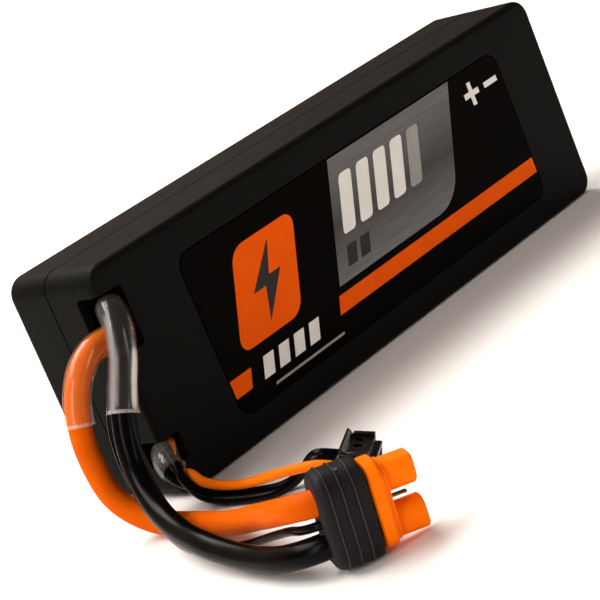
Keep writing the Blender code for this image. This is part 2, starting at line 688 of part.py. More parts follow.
def barrel_sections(side):
    """A barrel's sections: nearly round towards its twin, square-cornered on the outer side."""
    outer, inner = BARREL_OUTER_CORNER, BARREL_INNER_CORNER
    radii = (outer, outer, inner, inner) if side > 0 else (inner, inner, outer, outer)
    full = ring(BARREL_WIDTH, BARREL_HEIGHT, radii)
    drawn_in = ring(BARREL_WIDTH - 2 * BARREL_EDGE, BARREL_HEIGHT - 2 * BARREL_EDGE,
                    [radius - BARREL_EDGE for radius in radii])
    return [(FLANGE_THICKNESS / 2, full), (BARREL_REACH - BARREL_EDGE, full), (BARREL_REACH, drawn_in)]


def build_connector_body(parent):
    """The orange housing: a flange, a low collar and two barrels with their bores."""
    def plate(x, inset):
        radius = max(FLANGE_CORNER - inset, FIT)
        return x, ring(FLANGE_WIDTH - 2 * inset, FLANGE_HEIGHT - 2 * inset, (radius,) * 4)

    sections = [
        plate(0.0, FLANGE_EDGE),
        plate(FLANGE_EDGE, 0.0),
        plate(FLANGE_THICKNESS - FLANGE_EDGE, 0.0),
        plate(FLANGE_THICKNESS, FLANGE_EDGE),
        plate(FLANGE_THICKNESS, COLLAR_MARGIN),
        plate(FLANGE_THICKNESS + COLLAR_THICKNESS, COLLAR_MARGIN),
    ]
    body = loft("connector_body", sections, along_x(), "orange_nylon", parent)
    for side in (1, -1):
        centre_z = side * BARREL_SPACING / 2
        barrel = loft("barrel_shape", barrel_sections(side), along_x(0.0, centre_z), "orange_nylon", parent)
        boolean(body, barrel, "UNION")
    for side in (1, -1):
        bore = cylinder("barrel_bore", (0.0, side * BARREL_SPACING / 2), SOCKET_OUTER / 2 + FIT,
                        -FLANGE_THICKNESS, BARREL_REACH + FLANGE_THICKNESS, parent)
        boolean(body, bore, "DIFFERENCE")
    slot_y = DATA_PIN_WIDTH / 2 + FIT
    slot_z = DATA_PIN_THICKNESS / 2 + FIT
    slot = box("data_slot", (-FLANGE_THICKNESS, -slot_y, -slot_z), (2 * FLANGE_THICKNESS, slot_y, slot_z),
               "orange_nylon", parent)
    boolean(body, slot, "DIFFERENCE")


def boot_sections():
    """The boot's sections, from its domed rear to the flange, with the raised ribs round it."""
    front = -FIT

    def section(x, inset):
        radius = max(BOOT_CORNER - inset, FIT)
        return x, ring(BOOT_WIDTH - 2 * inset, BOOT_HEIGHT - 2 * inset, (radius,) * 4)

    sections = []
    for k in range(FILLET_STEPS):
        turn = math.pi / 2 * k / FILLET_STEPS
        sections.append(section(-BOOT_LENGTH + BOOT_SHOULDER * (1.0 - math.cos(turn)),
                                BOOT_REAR_TAPER * (1.0 - math.sin(turn)) + BOOT_REAR_TAPER / 8))
    for k in reversed(range(BOOT_RIB_COUNT)):
        middle = -BOOT_RIB_FIRST - k * BOOT_RIB_PITCH
        lean = BOOT_REAR_TAPER / 8 * k / BOOT_RIB_COUNT
        sections.append(section(middle - BOOT_RIB_WIDTH / 2, lean))
        sections.append(section(middle - BOOT_RIB_WIDTH / 4, lean - BOOT_RIB_HEIGHT))
        sections.append(section(middle + BOOT_RIB_WIDTH / 4, lean - BOOT_RIB_HEIGHT))
        sections.append(section(middle + BOOT_RIB_WIDTH / 2, lean))
    sections.append(section(front - BOOT_FRONT_TAPER, 0.0))
    sections.append(section(front, BOOT_FRONT_TAPER))
    return sections


def build_connector_boot(parent, lines):
    """The ribbed rubber boot, with a collar and a bore round each lead and room for the contacts."""
    boot = loft("connector_boot", boot_sections(), along_x(), "black_rubber", parent)
    for name in ("positive_lead", "negative_lead"):
        total = length_of(lines[name])
        rear = total - (BOOT_LENGTH - CUP_LENGTH) - BOOT_COLLAR_LENGTH
        shape = tube_curve(name + "_collar", stretch(lines[name], rear, rear + 2 * BOOT_COLLAR_LENGTH),
                           LEAD_DIAMETER / 2 + FIT + BOOT_COLLAR_WALL, True, COLLAR_FINENESS)
        boolean(boot, as_mesh(add_object(name + "_collar", shape, "black_rubber")), "UNION")
    for side in (1, -1):
        pocket = cylinder("cup_pocket", (0.0, side * BARREL_SPACING / 2), CUP_OUTER / 2 + FIT,
                          -CUP_LENGTH - 2 * FIT, CUP_LENGTH, parent)
        boolean(boot, pocket, "DIFFERENCE")
    for name, diameter in (("positive_lead", LEAD_DIAMETER), ("negative_lead", LEAD_DIAMETER),
                           ("data_wire", DATA_WIRE_DIAMETER)):
        total = length_of(lines[name])
        line = stretch(lines[name], total - 2 * BOOT_LENGTH, total)
        past = line[-1] + (line[-1] - line[-2]).normalized() * CUP_FLOOR
        bore = tube_curve(name + "_bore", [*line, past], diameter / 2 + FIT, True)
        boolean(boot, as_mesh(add_object(name + "_bore", bore, "black_rubber")), "DIFFERENCE")
    room_y = DATA_PIN_WIDTH / 2 + FIT
    room_z = DATA_PIN_THICKNESS / 2 + FIT
    room = box("data_room", (-DATA_PIN_TAIL - FIT, -room_y, -room_z), (DATA_PIN_TAIL, room_y, room_z),
               "black_rubber", parent)
    boolean(boot, room, "DIFFERENCE")


def as_mesh(curve_object):
    """Turn a tube of curve data into a mesh object of the same name, for a Boolean."""
    bpy.context.view_layer.update()
    depsgraph = bpy.context.evaluated_depsgraph_get()
    mesh = bpy.data.meshes.new_from_object(curve_object.evaluated_get(depsgraph))
    name = curve_object.name
    bpy.data.objects.remove(curve_object)
    bm = bmesh.new()
    bm.from_mesh(mesh)
    bpy.data.meshes.remove(mesh)
    bmesh.ops.remove_doubles(bm, verts=bm.verts, dist=FIT / 100)
    return add_mesh(name, bm, "black_rubber")


def build_contacts(parent):
    """The two brass sockets with their solder cups, and the flat data contact between them."""
    cup_outer, cup_bore = CUP_OUTER / 2, CUP_BORE / 2
    socket_outer, socket_bore = SOCKET_OUTER / 2, SOCKET_BORE / 2
    tip = BARREL_REACH - SOCKET_RECESS
    profile = (
        (0.0, -FIT - CUP_FLOOR), (cup_bore, -FIT - CUP_FLOOR), (cup_bore, -CUP_LENGTH),
        (cup_outer, -CUP_LENGTH), (cup_outer, -FIT), (socket_outer, -FIT), (socket_outer, tip),
        (socket_bore, tip), (socket_bore, tip - SOCKET_DEPTH), (0.0, tip - SOCKET_DEPTH),
    )
    turned("positive_contact", profile, "brass", parent, BARREL_SPACING / 2)
    turned("negative_contact", profile, "brass", parent, -BARREL_SPACING / 2)
    half_y, half_z = DATA_PIN_WIDTH / 2, DATA_PIN_THICKNESS / 2
    box("data_contact", (-DATA_PIN_TAIL, -half_y, -half_z), (DATA_PIN_REACH, half_y, half_z), "brass", parent)


def build_balance_plug(parent):
    """The three-way housing: wire holes, a stepped mouth, lance windows, rails and a rear grip."""
    half_w, half_t = PLUG_WIDTH / 2, PLUG_THICKNESS / 2
    plug = box("balance_plug", (0.0, -half_w, -half_t), (PLUG_LENGTH, half_w, half_t), "black_nylon",
               parent, edge=PLUG_EDGE)
    bm = bmesh.new()
    foot_z, peak_z = half_t - PLUG_EDGE, half_t + PLUG_GRIP_HEIGHT
    wedge = ((0.0, foot_z), (0.0, peak_z), (PLUG_GRIP_LENGTH / 4, peak_z), (PLUG_GRIP_LENGTH, foot_z))
    sides = [[bm.verts.new((x, y, z)) for x, z in wedge] for y in (-half_w + PLUG_EDGE, half_w - PLUG_EDGE)]
    for k in range(len(wedge)):
        after = (k + 1) % len(wedge)
        bm.faces.new((sides[0][k], sides[0][after], sides[1][after], sides[1][k]))
    bm.faces.new(sides[0])
    bm.faces.new(sides[1])
    bmesh.ops.translate(bm, vec=(PLUG_EDGE, 0.0, 0.0), verts=bm.verts)
    boolean(plug, add_mesh("grip_shape", bm, "black_nylon", parent), "UNION")
    for side in (-1, 1):
        outer = side * (half_w - PLUG_EDGE)
        inner = outer - side * PLUG_RAIL_WIDTH
        low_y, high_y = min(inner, outer), max(inner, outer)
        rail = box("rail_shape", (PLUG_GRIP_LENGTH, low_y, half_t - PLUG_EDGE),
                   (PLUG_LENGTH - PLUG_MOUTH_STEP, high_y, half_t + PLUG_RAIL_HEIGHT), "black_nylon", parent)
        boolean(plug, rail, "UNION")
    step = box("mouth_step", (PLUG_LENGTH - PLUG_MOUTH_STEP, -PLUG_WIDTH, half_t - PLUG_MOUTH_STEP),
               (PLUG_LENGTH + PLUG_MOUTH_STEP, PLUG_WIDTH, PLUG_THICKNESS), "black_nylon", parent)
    boolean(plug, step, "DIFFERENCE")
    hole = PLUG_HOLE / 2
    for k in (-1, 0, 1):
        y = k * PLUG_PITCH
        way = box("wire_hole", (-PLUG_EDGE, y - hole, -hole), (PLUG_LENGTH + PLUG_EDGE, y + hole, hole),
                  "black_nylon", parent)
        boolean(plug, way, "DIFFERENCE")
        end = PLUG_LENGTH - PLUG_WINDOW_FROM_MOUTH
        lance = box("lance_window", (end - PLUG_WINDOW_LENGTH, y - PLUG_WINDOW_WIDTH / 2, 0.0),
                    (end, y + PLUG_WINDOW_WIDTH / 2, PLUG_THICKNESS), "black_nylon", parent)
        boolean(plug, lance, "DIFFERENCE")
    half = PLUG_CONTACT_SIZE / 2
    start = PLUG_WIRE_DEPTH + FIT
    for name, k in (("positive", -1), ("middle", 0), ("negative", 1)):
        y = k * PLUG_PITCH
        box("balance_contact_" + name, (start, y - half, -half),
            (start + PLUG_CONTACT_LENGTH, y + half, half), "nickel", parent)


def main():
    """Clear the scene and build every piece of the pack."""
    for old in list(bpy.data.objects):
        bpy.data.objects.remove(old)
    build_front_shell()
    build_rear_shell()
    build_label()
    build_cells()
    build_terminals()
    build_board()
    lines = build_leads()
    build_balance_wires()
    connector = frame("connector_frame", CONNECTOR_POSITION, CONNECTOR_YAW, CONNECTOR_PITCH)
    build_connector_body(connector)
    build_connector_boot(connector, lines)
    build_contacts(connector)
    build_balance_plug(frame("plug_frame", PLUG_POSITION, PLUG_YAW, PLUG_TILT))


main()
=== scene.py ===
"""Dresses the battery pack: leads, clear tubing, printed label, moulded finishes and studio."""
import math

import bmesh
import bpy
from mathutils import Euler, Matrix, Quaternion, Vector


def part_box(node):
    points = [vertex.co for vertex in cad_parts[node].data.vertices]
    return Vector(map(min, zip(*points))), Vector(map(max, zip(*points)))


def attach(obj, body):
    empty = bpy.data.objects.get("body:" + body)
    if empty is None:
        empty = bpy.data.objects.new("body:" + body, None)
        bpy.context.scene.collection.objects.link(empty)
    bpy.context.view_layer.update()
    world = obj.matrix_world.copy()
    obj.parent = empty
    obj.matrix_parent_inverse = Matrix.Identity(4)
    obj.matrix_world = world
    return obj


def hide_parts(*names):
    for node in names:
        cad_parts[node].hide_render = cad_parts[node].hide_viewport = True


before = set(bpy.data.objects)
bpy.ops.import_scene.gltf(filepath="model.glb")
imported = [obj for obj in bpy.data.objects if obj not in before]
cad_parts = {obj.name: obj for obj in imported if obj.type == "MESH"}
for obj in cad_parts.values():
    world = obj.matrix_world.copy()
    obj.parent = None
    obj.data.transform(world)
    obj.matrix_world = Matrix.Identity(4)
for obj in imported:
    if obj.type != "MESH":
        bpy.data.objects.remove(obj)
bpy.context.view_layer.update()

MM = 0.001
# Points that lie closer together than this, in metres, are one
WELD = 1e-6

# Camera: its place and the point it looks at in millimetres, its roll, lens, sensor and clipping
CAMERA_PLACE = (-287.258, -306.434, 122.692)
CAMERA_TARGET = (-5.662, 8.976, 11.106)
CAMERA_ROLL = math.radians(-22.61)
CAMERA_LENS = 127.594
CAMERA_SENSOR = 36.0
CAMERA_CLIP = 0.02

# Studio in metres and watts: half the floor's width; each light's place, size, power and colour
FLOOR_REACH = 6.0
LIGHTS = (
    ("key", (-0.25, 0.8, 1.4), (2.2, 0.7), 52.0, "#FFFDF8"),
    ("left_strip", (-0.95, -0.2, 0.42), (0.3, 0.7), 4.2, "#FFFFFF"),
    ("front_strip", (0.12, -0.75, 0.3), (0.15, 0.45), 1.2, "#FFF6EC"),
)
# Room: its tint, its strength in front of the pack and behind it, and where these change over
ROOM_TINT = "#FFDFCD"
ROOM_FRONT, ROOM_BACK = 0.14, 0.66
ROOM_TURN = (0.5, 0.85)

# Leads, wires and their clear sleeves in metres
LEAD_DIAMETER = 0.0044
DATA_WIRE_DIAMETER = 0.0015
BALANCE_WIRE_DIAMETER = 0.0018
BALANCE_WIRE_GAP = 0.0003
FIT = 0.0003
SLEEVE_WALL = 0.0003

# How closely their lines are drawn, in millimetres
LEAD_STEP = 1.2
DATA_WIRE_STEP = 0.8
BALANCE_WIRE_STEP = 0.5
BALANCE_AXIS_STEP = 0.8
SLEEVE_STEP = 0.6
# The parts of a curve between two points of its route, and how round a tube is
CURVE_PARTS = 12
TUBE_RESOLUTION = 6

# Routes in millimetres, from the board to the far end
POSITIVE_ROUTE = (
    (-62.5, -8.0, 33.0), (-65.4, -9.3, 32.6), (-68.6, -9.9, 32.7), (-72.8, -9.9, 32.5),
    (-76.7, -9.7, 30.3), (-79.7, -9.4, 26.1), (-81.7, -9.5, 20.6), (-82.7, -10.4, 14.8),
    (-83.0, -12.3, 9.1), (-82.1, -15.8, 4.9), (-81.3, -21.0, 2.7), (-81.2, -29.0, 2.4),
    (-82.0, -37.0, 2.9), (-84.6, -45.0, 4.8), (-87.6, -52.8, 7.2), (-90.5, -59.4, 9.3),
    (-92.6, -65.2, 11.0), (-93.2, -69.4, 11.9), (-92.2, -72.6, 12.1), (-89.3, -74.6, 12.15),
)
NEGATIVE_ROUTE = (
    (-63.6, -7.2, 37.9), (-65.7, -10.2, 38.2), (-67.6, -13.3, 37.9), (-69.7, -15.9, 35.4),
    (-72.3, -17.2, 30.9), (-75.2, -17.3, 26.1), (-77.7, -17.5, 21.7), (-79.6, -18.1, 17.4),
    (-81.4, -19.7, 13.2), (-83.6, -22.9, 9.6), (-86.1, -27.9, 6.8), (-88.8, -34.6, 5.1),
    (-91.2, -42.0, 4.4), (-92.7, -49.4, 3.6), (-93.9, -56.5, 3.3), (-94.7, -62.8, 3.7),
    (-94.4, -68.0, 4.4), (-92.8, -71.9, 4.9), (-89.9, -74.2, 5.0),
)
DATA_ROUTE = (
    (-62.6, -9.3, 29.9), (-64.0, -10.6, 30.1), (-65.4, -12.1, 30.3), (-67.2, -13.5, 30.3),
    (-69.6, -13.9, 29.2), (-72.8, -13.3, 27.0), (-75.8, -13.3, 23.9), (-77.9, -13.4, 20.2),
    (-78.9, -13.6, 16.5), (-79.9, -14.6, 12.8), (-81.2, -16.6, 9.6), (-82.8, -19.6, 6.6),
    (-84.4, -23.9, 3.8), (-86.2, -28.8, 1.9), (-87.4, -33.6, 1.1), (-87.4, -38.0, 0.9),
    (-86.4, -42.0, 0.9), (-85.9, -46.0, 1.2), (-86.6, -51.0, 2.5), (-88.6, -57.6, 4.6),
    (-91.0, -63.8, 6.6), (-92.8, -68.6, 7.8), (-92.6, -72.4, 8.5), (-89.1, -74.7, 8.5),
)
BALANCE_AXIS = (
    (-62.2, -5.4, 9.4), (-64.6, -7.8, 9.6), (-67.0, -10.2, 9.6), (-69.2, -12.5, 9.2),
    (-70.6, -14.3, 8.4), (-71.3, -16.4, 7.1), (-71.3, -18.4, 5.7),
)
# How far the three wires are turned about that line at each point, in degrees
BALANCE_TURNS = (0.0, -60.0, -120.0, -165.0, -165.0, -130.0, -65.0)
BALANCE_POSITIVE_ROUTE = (
    (-70.8, -21.9, 4.8), (-69.6, -25.0, 3.4), (-68.9, -29.2, 3.1), (-69.2, -34.0, 3.9),
    (-70.1, -39.6, 5.3), (-70.6, -44.9, 6.4), (-69.1, -49.6, 6.4), (-67.1, -52.8, 5.0),
    (-66.5, -53.8, 4.6),
)
BALANCE_MIDDLE_ROUTE = (
    (-72.1, -21.2, 3.0), (-71.3, -24.6, 1.4), (-70.7, -28.6, 1.0), (-69.9, -32.8, 1.0),
    (-68.6, -36.9, 1.2), (-67.3, -40.6, 2.4), (-66.9, -43.6, 4.2), (-67.3, -46.2, 5.8),
    (-67.0, -48.3, 6.3), (-65.0, -51.5, 5.0), (-64.4, -52.5, 4.6),
)
BALANCE_NEGATIVE_ROUTE = (
    (-69.9, -20.8, 3.1), (-68.8, -24.0, 1.4), (-68.2, -28.2, 1.0), (-67.6, -32.2, 1.0),
    (-66.4, -36.0, 1.1), (-65.0, -39.2, 2.0), (-64.5, -41.6, 3.6), (-64.7, -44.0, 5.4),
    (-64.9, -46.9, 6.4), (-62.9, -50.2, 5.0), (-62.3, -51.2, 4.6),
)

# Where each clear sleeve starts and ends, as distances in metres along what it covers
POSITIVE_SLEEVE = (0.0050, 0.0247)
NEGATIVE_SLEEVE = (0.0066, 0.0270)
BALANCE_SLEEVE = (0.0085, 0.0144)
# How far each sleeve's free end flares, as a share of its radius, and where along it that happens
POSITIVE_FLARE, NEGATIVE_FLARE, BALANCE_FLARE = 0.07, 0.08, 0.0
FLARE_START, FLARE_LENGTH = 0.9, 0.1
# Waves along a sleeve: their size as a share of its radius, their half turns, and their start
SLEEVE_WAVES = ((0.008, 5.0, 0.0), (0.004, 13.0, 1.0))
# How much of a flared end shows its cut edge, in millimetres
CUT_EDGE = 0.4

# Moulded copies: the bend below which faces are merged, and the bend above which edges are softened
FLAT_ANGLE = math.radians(0.5)
SHARP_ANGLE = math.radians(38.0)
# Angles in degrees above which a piece's faces meet in a sharp edge
SHAPE_ANGLE = 35.0
SLEEVE_ANGLE = 60.0
BOOT_ANGLE = 30.0
NEVER_SHARP = 180.0

# Connector: its place and its boot in millimetres, and the way that its barrels point
CONNECTOR_PLACE = (-85.4, -77.0, 8.1)
CONNECTOR_YAW = math.radians(-32.0)
CONNECTOR_PITCH = math.radians(5.5)
BOOT_LENGTH, BOOT_WIDTH, BOOT_HEIGHT = 8.2, 9.4, 16.0
BOOT_CORNER = 3.6
BOOT_REAR_EDGE, BOOT_FRONT_EDGE = 1.6, 0.5
BOOT_RIBS = (2.4, 4.4, 6.4)
BOOT_RIB_WIDTH = 0.36
BOOT_RIB_HEIGHT = 0.22
# A rib's feet and the sides of its crest, and how far its crest reaches, as shares of its width
BOOT_RIB_CUTS = (-0.5, -0.25, 0.25, 0.5)
BOOT_RIB_CREST = 0.3
# The boot's round gate mark: its place and the way it faces, and its foot, top and depth
GATE_MARK_PLACE = (-3.95, -2.1, 7.85)
GATE_MARK_FACING = (0.0, -0.28, 0.96)
GATE_MARK_FOOT, GATE_MARK_TOP, GATE_MARK_DEPTH = 0.55, 0.42, 0.3

# Printed label: each layer of ink stands this far proud of the one below
INK = 0.03 * MM
LOWER_LAYER, UPPER_LAYER = 1, 2
LABEL_SLANT = 0.42
# Corners of its printed shapes, as (x, z) in millimetres
PANEL_CORNERS = ((-13.9, 16.1), (26.0, 16.1), (36.4, 39.1), (-4.3, 39.1))
STRIPE_CORNERS = ((-16.5, 11.2), (52.8, 11.2), (52.8, 14.6), (-15.0, 14.6))
TAB_CORNERS = ((-48.8, 9.9), (-44.2, 9.9), (-42.7, 13.5), (-48.8, 13.5))
BOLT_CORNERS = ((-33.6, 18.6), (-26.2, 26.6), (-29.6, 26.6), (-26.6, 32.8), (-35.0, 25.0),
                (-31.4, 25.0))
PLUS_CORNERS = ((39.6, 33.4), (41.5, 33.4), (41.5, 31.5), (42.7, 31.5), (42.7, 33.4), (44.6, 33.4),
                (44.6, 34.6), (42.7, 34.6), (42.7, 36.5), (41.5, 36.5), (41.5, 34.6), (39.6, 34.6))
MINUS_CORNERS = ((46.6, 33.4), (51.2, 33.4), (51.2, 34.6), (46.6, 34.6))
RULE_CORNERS = ((-38.5, 7.6), (-17.5, 7.6), (-17.3, 8.1), (-38.3, 8.1))
# Slanted bars: the lower left corner of the first, the step to the next, their width and height
BADGE_PLACE, BADGE_SIZE = (-43.6, 16.4), (18.0, 18.4)
GAUGE_PLACE, GAUGE_STEP, GAUGE_SIZE = (-7.6, 24.4), 5.6, (3.9, 11.0)
CELL_SIGN_PLACE, CELL_SIGN_STEP, CELL_SIGN_SIZE = (-9.6, 18.4), 4.2, (3.0, 3.8)
SLASH_PLACE, SLASH_STEP, SLASH_SIZE = (-40.6, 9.8), 4.6, (3.0, 4.0)
# Radii of printed corners, by the corner's number
PANEL_ROUNDING = {1: 6.0}
BADGE_ROUNDING = {0: 3.0, 1: 3.0, 2: 3.0, 3: 3.0}
GAUGE_ROUNDING = {0: 0.9, 1: 0.9, 2: 0.9, 3: 0.9}

# Materials: the middle stretch of a noise, and where its dark and light colours start
NOISE_RANGE = (0.3, 0.7)
COLOUR_STOPS = (0.35, 0.65)
# Clear film: how rough its milk is, how unevenly a painted highlight ends, and how strongly it
# mirrors
MILK_ROUGHNESS = 0.6
HIGHLIGHT_UNEVENNESS = 0.5
MIRROR_POWER, MIRROR_AT_SIDES, MIRROR_FACE_ON = 4.0, 0.5, 0.015


def linear(hex_colour):
    """The linear red, green, blue and alpha of an sRGB hex colour."""
    parts = [int(hex_colour[i:i + 2], 16) / 255.0 for i in (1, 3, 5)]
    return [c / 12.92 if c <= 0.04045 else ((c + 0.055) / 1.055) ** 2.4 for c in parts] + [1.0]


def add_node(tree, kind, settings, inputs):
    """Add a node, set its settings, and give each input a value or a link from a socket."""
    made = tree.nodes.new(kind)
    for key, value in settings.items():
        setattr(made, key, value)
    for key, value in inputs.items():
        if isinstance(value, bpy.types.NodeSocket):
            tree.links.new(value, made.inputs[key])
        else:
            made.inputs[key].default_value = value
    return made


def start_material(name, values):
    """A new Principled material with its constant values set, its tree and its shader."""
    made = bpy.data.materials.new(name)
    made.use_nodes = True
    tree = made.node_tree
    shader = tree.nodes["Principled BSDF"]
    for key, value in values.items():
        shader.inputs[key].default_value = value
    return made, tree, shader


def painted_dark_band(tree, place, shade, middle_mm, fade_mm, darkness):
    """A colour that darkens in a level band toward the height of its middle: a painted reflection.
    """
    height = add_node(tree, "ShaderNodeSeparateXYZ", {}, {"Vector": place}).outputs["Z"]
    offset = add_node(tree, "ShaderNodeMath", {"operation": "SUBTRACT"},
                      {0: height, 1: middle_mm * MM}).outputs["Value"]
    away = add_node(tree, "ShaderNodeMath", {"operation": "ABSOLUTE"}, {0: offset}).outputs["Value"]
    fade = add_node(tree, "ShaderNodeMapRange", {},
                    {"Value": away, "From Max": fade_mm * MM, "To Min": darkness}).outputs["Result"]
    return add_node(tree, "ShaderNodeVectorMath", {"operation": "SCALE"},
                    {0: shade, "Scale": fade}).outputs["Vector"]


def varied(name, dark, light, patch_mm, rough, grain_mm, grain_height_mm, values,
           stretch=(1.0, 1.0, 1.0), painted_band=None):
    """A material whose colour and roughness drift in patches and whose surface has a fine grain.

    A painted band is a dark painted reflection: the height of its middle, how far it fades, both in
    mm, and how dark its middle is.
    """
    made, tree, shader = start_material(name, values)
    place = add_node(tree, "ShaderNodeTexCoord", {}, {}).outputs["Object"]
    turned = add_node(tree, "ShaderNodeMapping", {},
                      {"Vector": place, "Scale": stretch}).outputs["Vector"]
    patches = add_node(tree, "ShaderNodeTexNoise", {},
                       {"Vector": turned, "Scale": 1.0 / (patch_mm * MM),
                        "Detail": 4.0}).outputs["Fac"]
    colour = add_node(tree, "ShaderNodeValToRGB", {}, {"Fac": patches})
    for stop, position, shade in zip(colour.color_ramp.elements, COLOUR_STOPS, (dark, light)):
        stop.position = position
        stop.color = linear(shade)
    shade = colour.outputs["Color"]
    # A painted band darkens the colour here as a painted reflection
    if painted_band:
        shade = painted_dark_band(tree, place, shade, *painted_band)
    tree.links.new(shade, shader.inputs["Base Color"])
    sheen = add_node(tree, "ShaderNodeMapRange", {},
                     {"Value": patches, "From Min": NOISE_RANGE[0], "From Max": NOISE_RANGE[1],
                      "To Min": rough[0], "To Max": rough[1]})
    tree.links.new(sheen.outputs["Result"], shader.inputs["Roughness"])
    grain = add_node(tree, "ShaderNodeTexNoise", {},
                     {"Vector": turned, "Scale": 1.0 / (grain_mm * MM),
                      "Detail": 2.0}).outputs["Fac"]
    bump = add_node(tree, "ShaderNodeBump", {},
                    {"Height": grain, "Strength": 1.0, "Distance": grain_height_mm * MM})
    tree.links.new(bump.outputs["Normal"], shader.inputs["Normal"])
    return made


def screen_ink(name, dark, light, shine):
    """An even, slightly satin printing ink."""
    return varied(name, dark, light, patch_mm=6.0, rough=(0.34, 0.42), grain_mm=0.6,
                  grain_height_mm=0.002, values={"IOR": 1.49, "Specular IOR Level": shine})


def clear_film(name, colour, haze_and_painted_glow, painted_highlights, rough, wrinkle_mm, wrinkle_height_mm):
    """A clear glossy film: see-through face on, mirror-like at its sides, with milky painted
    highlights.

    Each painted highlight is the way that it faces, how far it spreads in degrees, and how milky it
    is.
    """
    made, tree, shader = start_material(
        name, {"Base Color": linear(colour), "Roughness": MILK_ROUGHNESS})
    inputs = add_node(tree, "ShaderNodeTexCoord", {}, {})
    wrinkles = add_node(tree, "ShaderNodeTexNoise", {},
                        {"Vector": inputs.outputs["Object"], "Scale": 1.0 / (wrinkle_mm * MM),
                         "Detail": 3.0}).outputs["Fac"]
    milk_and_painted_light = add_node(tree, "ShaderNodeMapRange", {},
                    {"Value": wrinkles, "From Min": NOISE_RANGE[0], "From Max": NOISE_RANGE[1],
                     "To Min": haze_and_painted_glow[0], "To Max": haze_and_painted_glow[1]}).outputs["Result"]
    # Painted highlights: the film turns milky where it faces each given way
    for toward, spread, amount in painted_highlights:
        rim = math.cos(math.radians(spread))
        lean = add_node(tree, "ShaderNodeVectorMath", {"operation": "DOT_PRODUCT"},
                        {0: inputs.outputs["Normal"],
                         1: Vector(toward).normalized()}).outputs["Value"]
        uneven = add_node(tree, "ShaderNodeMath", {"operation": "MULTIPLY_ADD"},
                          {0: wrinkles, 1: HIGHLIGHT_UNEVENNESS * (1.0 - rim),
                           2: lean}).outputs["Value"]
        painted_band = add_node(tree, "ShaderNodeMapRange", {"interpolation_type": "SMOOTHSTEP"},
                        {"Value": uneven, "From Min": rim, "From Max": 1.0,
                         "To Min": 0.0, "To Max": amount}).outputs["Result"]
        milk_and_painted_light = add_node(tree, "ShaderNodeMath", {"operation": "MAXIMUM"},
                        {0: milk_and_painted_light, 1: painted_band}).outputs["Value"]
    bump = add_node(tree, "ShaderNodeBump", {},
                    {"Height": wrinkles, "Strength": 1.0,
                     "Distance": wrinkle_height_mm * MM}).outputs["Normal"]
    facing = add_node(tree, "ShaderNodeLayerWeight", {}, {"Normal": bump}).outputs["Facing"]
    steep = add_node(tree, "ShaderNodeMath", {"operation": "POWER"},
                     {0: facing, 1: MIRROR_POWER}).outputs["Value"]
    mirror = add_node(tree, "ShaderNodeMath", {"operation": "MULTIPLY_ADD"},
                      {0: steep, 1: MIRROR_AT_SIDES, 2: MIRROR_FACE_ON}).outputs["Value"]
    clear = add_node(tree, "ShaderNodeBsdfTransparent", {}, {}).outputs["BSDF"]
    gloss = add_node(tree, "ShaderNodeBsdfGlossy", {},
                     {"Roughness": rough, "Normal": bump}).outputs["BSDF"]
    body = add_node(tree, "ShaderNodeMixShader", {},
                    {0: milk_and_painted_light, 1: clear, 2: shader.outputs["BSDF"]}).outputs["Shader"]
    skin = add_node(tree, "ShaderNodeMixShader", {}, {0: mirror, 1: body, 2: gloss})
    tree.links.new(skin.outputs["Shader"], tree.nodes["Material Output"].inputs["Surface"])
    return made


# The case, the label and the rubbers reflect less than such materials do, to come out as dark as in
# the photograph. Fine grains are 0.2 to 0.6 mm wide, mostly coarser than life, so that they show.

# Moulded ABS: nearly black and satin, with a fine even grain.
CASE_ABS = varied(
    "moulded_black_abs", "#0D0D0B", "#100F0D", patch_mm=9.0, rough=(0.42, 0.5), grain_mm=0.35,
    grain_height_mm=0.006, values={"IOR": 1.5, "Specular IOR Level": 0.03})
# Printed vinyl film under a gloss laminate: deeper black than the case and much smoother.
LABEL_VINYL = varied(
    "laminated_black_vinyl", "#050302", "#070503", patch_mm=20.0, rough=(0.2, 0.26), grain_mm=2.5,
    grain_height_mm=0.004, values={"IOR": 1.49, "Specular IOR Level": 0.01})
# Brushed metallised film: fine streaks along the label, drawn wider than life so that they show.
# The dark band across its middle is a painted reflection, fitted to the photograph.
LABEL_SILVER = varied(
    "brushed_metallised_film", "#4E4D4E", "#5A595A", patch_mm=0.6, rough=(0.18, 0.26), grain_mm=0.5,
    grain_height_mm=0.003, values={"Metallic": 0.85}, stretch=(0.05, 1.0, 1.0),
    painted_band=(26.5, 11.0, 0.34))
# Screen-printed inks: even, slightly satin colour.
ORANGE_INK = screen_ink("orange_screen_ink", "#E85503", "#EE5B04", 0.02)
WHITE_INK = screen_ink("white_screen_ink", "#DAD7D2", "#E2DFDA", 0.2)
GREY_INK = screen_ink("grey_screen_ink", "#8B8884", "#96938F", 0.2)
BLACK_INK = screen_ink("black_screen_ink", "#0A0706", "#100C0A", 0.2)
# Extruded silicone rubber: soft satin insulation.
ORANGE_SILICONE = varied(
    "orange_silicone_rubber", "#C95001", "#D35802", patch_mm=5.0, rough=(0.4, 0.5), grain_mm=0.5,
    grain_height_mm=0.006, values={"IOR": 1.41, "Specular IOR Level": 0.03})
# Lighter silicone insulation of the thin orange wire.
PALE_ORANGE_SILICONE = varied(
    "pale_orange_silicone_rubber", "#EA6E03", "#F27606", patch_mm=4.0, rough=(0.36, 0.46),
    grain_mm=0.5, grain_height_mm=0.005, values={"IOR": 1.41, "Specular IOR Level": 0.06})
# Black silicone insulation: smoother, with narrow highlights.
BLACK_SILICONE = varied(
    "black_silicone_rubber", "#030202", "#050404", patch_mm=5.0, rough=(0.2, 0.28), grain_mm=0.5,
    grain_height_mm=0.004, values={"IOR": 1.41, "Specular IOR Level": 0.08})
